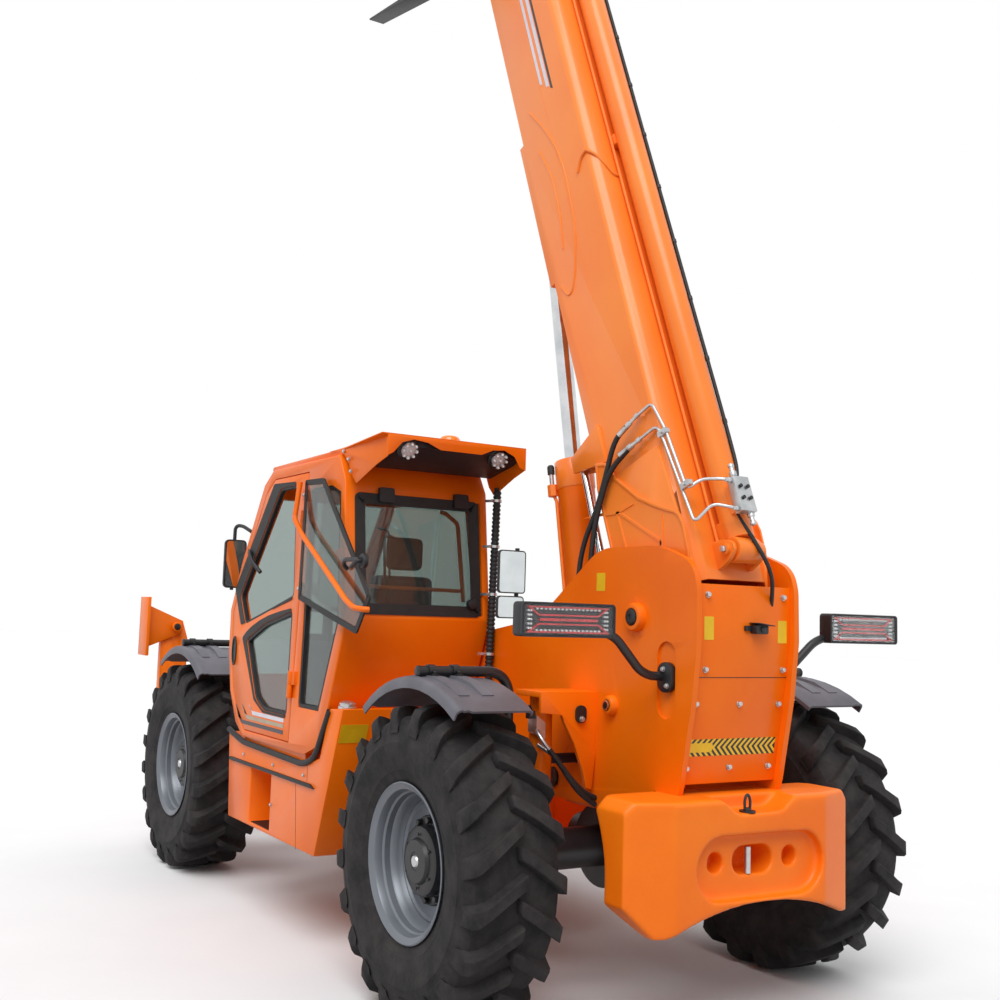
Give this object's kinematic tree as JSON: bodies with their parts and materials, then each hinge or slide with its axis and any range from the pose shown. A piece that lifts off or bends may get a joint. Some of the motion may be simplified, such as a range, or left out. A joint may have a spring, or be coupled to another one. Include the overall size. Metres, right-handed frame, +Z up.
{
  "type": "telehandler",
  "caption": "Telescopic handler with a raised four-section boom, pallet forks, enclosed cab, steered wheels and folding stabilisers",
  "frame": {"origin": "on the ground, midway between the axles and between the wheels", "axes": "+X forward, towards the forks; +Y to the machine's left, where the cab is; +Z up"},
  "size_m": [5.05, 2.472, 6.9769],
  "materials": {
    "body_paint": "gloss",
    "boom_paint": "gloss",
    "weight_paint": "rough cast under paint",
    "rim_paint": "satin",
    "tyre_rubber": "matt",
    "strip_rubber": "matt",
    "guard_plastic": "moulded",
    "black_metal": "satin",
    "window_glass": "clear",
    "lamp_plastic": "gloss",
    "seat_fabric": "woven",
    "console_plastic": "moulded",
    "engine_iron": "as cast",
    "rod_chrome": "polished",
    "axle_iron": "painted black",
    "pin_steel": "ground",
    "fork_steel": "satin black",
    "mirror_face": "gloss"
  },
  "bodies": {
    "chassis": {"axle_locks": "body_paint", "bracket_tubes": "black_metal", "cab_glass": "window_glass", "cab_roof": "body_paint", "cab_shell": "body_paint", "cab_trim": "strip_rubber", "counterweight": "weight_paint", "cross_members": "body_paint", "engine": "engine_iron", "engine_tray": "body_paint", "fenders": "guard_plastic", "frame_pins": "pin_steel", "front_axle": "axle_iron", "mirrors": "mirror_face", "rear_axle": "axle_iron", "rear_cover": "body_paint", "roof_lamps": "lamp_plastic", "seat": "seat_fabric", "side_plates": "body_paint", "stabiliser_beam": "body_paint", "steering_console": "console_plastic", "tail_lamps": "lamp_plastic", "tank_box": "body_paint", "upper_window": "window_glass"},
    "boom_arm": {"boom_base": "boom_paint", "reach_barrel": "boom_paint"},
    "boom_stage_2": {"boom_second": "boom_paint", "reach_rod": "rod_chrome"},
    "boom_stage_3": {"boom_third": "boom_paint"},
    "boom_nose": {"boom_head": "boom_paint", "tilt_barrel": "black_metal"},
    "tilt_ram": {"tilt_rod": "rod_chrome"},
    "fork_frame": {"carriage": "boom_paint", "forks": "fork_steel"},
    "lift_tube": {"lift_barrel": "boom_paint"},
    "lift_ram": {"lift_rod": "rod_chrome"},
    "level_tubes": {"level_barrels": "black_metal"},
    "level_rams": {"level_rods": "rod_chrome"},
    "cab_door": {"door": "body_paint", "door_glass": "window_glass"},
    "hood": {"engine_hood": "body_paint"},
    "leg_left": {"stabiliser_leg_left": "body_paint"},
    "leg_right": {"stabiliser_leg_right": "body_paint"},
    "foot_left": {"stabiliser_foot_left": "black_metal"},
    "foot_right": {"stabiliser_foot_right": "black_metal"},
    "steer_knuckle_front_left": {"knuckle_front_left": "axle_iron"},
    "road_wheel_front_left": {"wheel_front_left": "rim_paint", "tyre_front_left": "tyre_rubber"},
    "steer_knuckle_front_right": {"knuckle_front_right": "axle_iron"},
    "road_wheel_front_right": {"wheel_front_right": "rim_paint", "tyre_front_right": "tyre_rubber"},
    "steer_knuckle_rear_left": {"knuckle_rear_left": "axle_iron"},
    "road_wheel_rear_left": {"wheel_rear_left": "rim_paint", "tyre_rear_left": "tyre_rubber"},
    "steer_knuckle_rear_right": {"knuckle_rear_right": "axle_iron"},
    "road_wheel_rear_right": {"wheel_rear_right": "rim_paint", "tyre_rear_right": "tyre_rubber"}
  },
  "joints": [
    {"name": "boom_lift", "type": "hinge", "parent": "chassis", "child": "boom_arm", "pos_m": [-2.071, 0, 1.711], "axis": [0, -1, 0], "range_deg": [-72, 2]},
    {"name": "boom_extend", "type": "slide", "parent": "boom_arm", "child": "boom_stage_2", "axis": [0.3665, 0, 0.9304], "range_m": [0, 3.93]},
    {"name": "boom_extend_third", "type": "slide", "parent": "boom_stage_2", "child": "boom_stage_3", "axis": [0.3665, 0, 0.9304], "range_m": [0, 3.93]},
    {"name": "boom_extend_head", "type": "slide", "parent": "boom_stage_3", "child": "boom_nose", "axis": [0.3665, 0, 0.9304], "range_m": [0, 3.93]},
    {"name": "fork_tilt", "type": "hinge", "parent": "boom_nose", "child": "fork_frame", "pos_m": [0.82008, 0, 6.45018], "axis": [0, -1, 0], "range_deg": [-50, 72]},
    {"name": "tilt_ram_slide", "type": "slide", "parent": "boom_nose", "child": "tilt_ram", "axis": [0.9794, 0, 0.202], "range_m": [-0.116, 0.081]},
    {"name": "lift_tube_swing", "type": "hinge", "parent": "chassis", "child": "lift_tube", "pos_m": [-1.465, 0, 0.95], "axis": [0, -1, 0], "range_deg": [-70, 2]},
    {"name": "lift_ram_slide", "type": "slide", "parent": "lift_tube", "child": "lift_ram", "axis": [0.1873, 0, 0.9823], "range_m": [-1.14, 0.033]},
    {"name": "level_tubes_swing", "type": "hinge", "parent": "chassis", "child": "level_tubes", "pos_m": [-1.907, 0, 1.319], "axis": [0, -1, 0], "range_deg": [-65, 2]},
    {"name": "level_rams_slide", "type": "slide", "parent": "level_tubes", "child": "level_rams", "axis": [0.3422, 0, 0.9396], "range_m": [-0.486, 0.015]},
    {"name": "steer_front_left", "type": "hinge", "parent": "chassis", "child": "steer_knuckle_front_left", "pos_m": [1.65, 0.86, 0.655], "axis": [0, 0, 1], "range_deg": [-30, 30]},
    {"name": "steer_front_right", "type": "hinge", "parent": "chassis", "child": "steer_knuckle_front_right", "pos_m": [1.65, -0.86, 0.655], "axis": [0, 0, 1], "range_deg": [-30, 30]},
    {"name": "steer_rear_left", "type": "hinge", "parent": "chassis", "child": "steer_knuckle_rear_left", "pos_m": [-1.65, 0.86, 0.655], "axis": [0, 0, 1], "range_deg": [-30, 30]},
    {"name": "steer_rear_right", "type": "hinge", "parent": "chassis", "child": "steer_knuckle_rear_right", "pos_m": [-1.65, -0.86, 0.655], "axis": [0, 0, 1], "range_deg": [-30, 30]},
    {"name": "wheel_spin_front_left", "type": "hinge", "parent": "steer_knuckle_front_left", "child": "road_wheel_front_left", "pos_m": [1.65, 0.985, 0.655], "axis": [0, 1, 0], "continuous": true},
    {"name": "wheel_spin_front_right", "type": "hinge", "parent": "steer_knuckle_front_right", "child": "road_wheel_front_right", "pos_m": [1.65, -0.985, 0.655], "axis": [0, 1, 0], "continuous": true},
    {"name": "wheel_spin_rear_left", "type": "hinge", "parent": "steer_knuckle_rear_left", "child": "road_wheel_rear_left", "pos_m": [-1.65, 0.985, 0.655], "axis": [0, 1, 0], "continuous": true},
    {"name": "wheel_spin_rear_right", "type": "hinge", "parent": "steer_knuckle_rear_right", "child": "road_wheel_rear_right", "pos_m": [-1.65, -0.985, 0.655], "axis": [0, 1, 0], "continuous": true},
    {"name": "door_swing", "type": "hinge", "parent": "chassis", "child": "cab_door", "pos_m": [-0.225, 1.145, 1], "axis": [-0.0842, 0, 0.9964], "range_deg": [0, 100]},
    {"name": "hood_lift", "type": "hinge", "parent": "chassis", "child": "hood", "pos_m": [0, -0.302, 1.382], "axis": [-1, 0, 0], "range_deg": [0, 60]},
    {"name": "stabiliser_swing_left", "type": "hinge", "parent": "chassis", "child": "leg_left", "pos_m": [2.45, 0.966, 0.64], "axis": [-1, 0, 0], "range_deg": [0, 126]},
    {"name": "stabiliser_foot_tilt_left", "type": "hinge", "parent": "leg_left", "child": "foot_left", "pos_m": [2.45, 0.966, 1.541], "axis": [-1, 0, 0], "range_deg": [-40, 15]},
    {"name": "stabiliser_swing_right", "type": "hinge", "parent": "chassis", "child": "leg_right", "pos_m": [2.45, -0.966, 0.64], "axis": [1, 0, 0], "range_deg": [0, 126]},
    {"name": "stabiliser_foot_tilt_right", "type": "hinge", "parent": "leg_right", "child": "foot_right", "pos_m": [2.45, -0.966, 1.541], "axis": [1, 0, 0], "range_deg": [-40, 15]}
  ],
  "couplings": [
    {"joint": "boom_extend_third", "follows": "boom_extend", "ratio": 1},
    {"joint": "boom_extend_head", "follows": "boom_extend", "ratio": 1},
    {"joint": "lift_tube_swing", "follows": "boom_lift", "ratio": 0.9639},
    {"joint": "lift_ram_slide", "follows": "boom_lift", "m_per_rad": 0.9054},
    {"joint": "level_tubes_swing", "follows": "boom_lift", "ratio": 0.8917},
    {"joint": "level_rams_slide", "follows": "boom_lift", "m_per_rad": 0.3845},
    {"joint": "tilt_ram_slide", "follows": "fork_tilt", "m_per_rad": -0.0917},
    {"joint": "steer_front_right", "follows": "steer_front_left", "ratio": 1},
    {"joint": "steer_rear_right", "follows": "steer_rear_left", "ratio": 1}
  ]
}
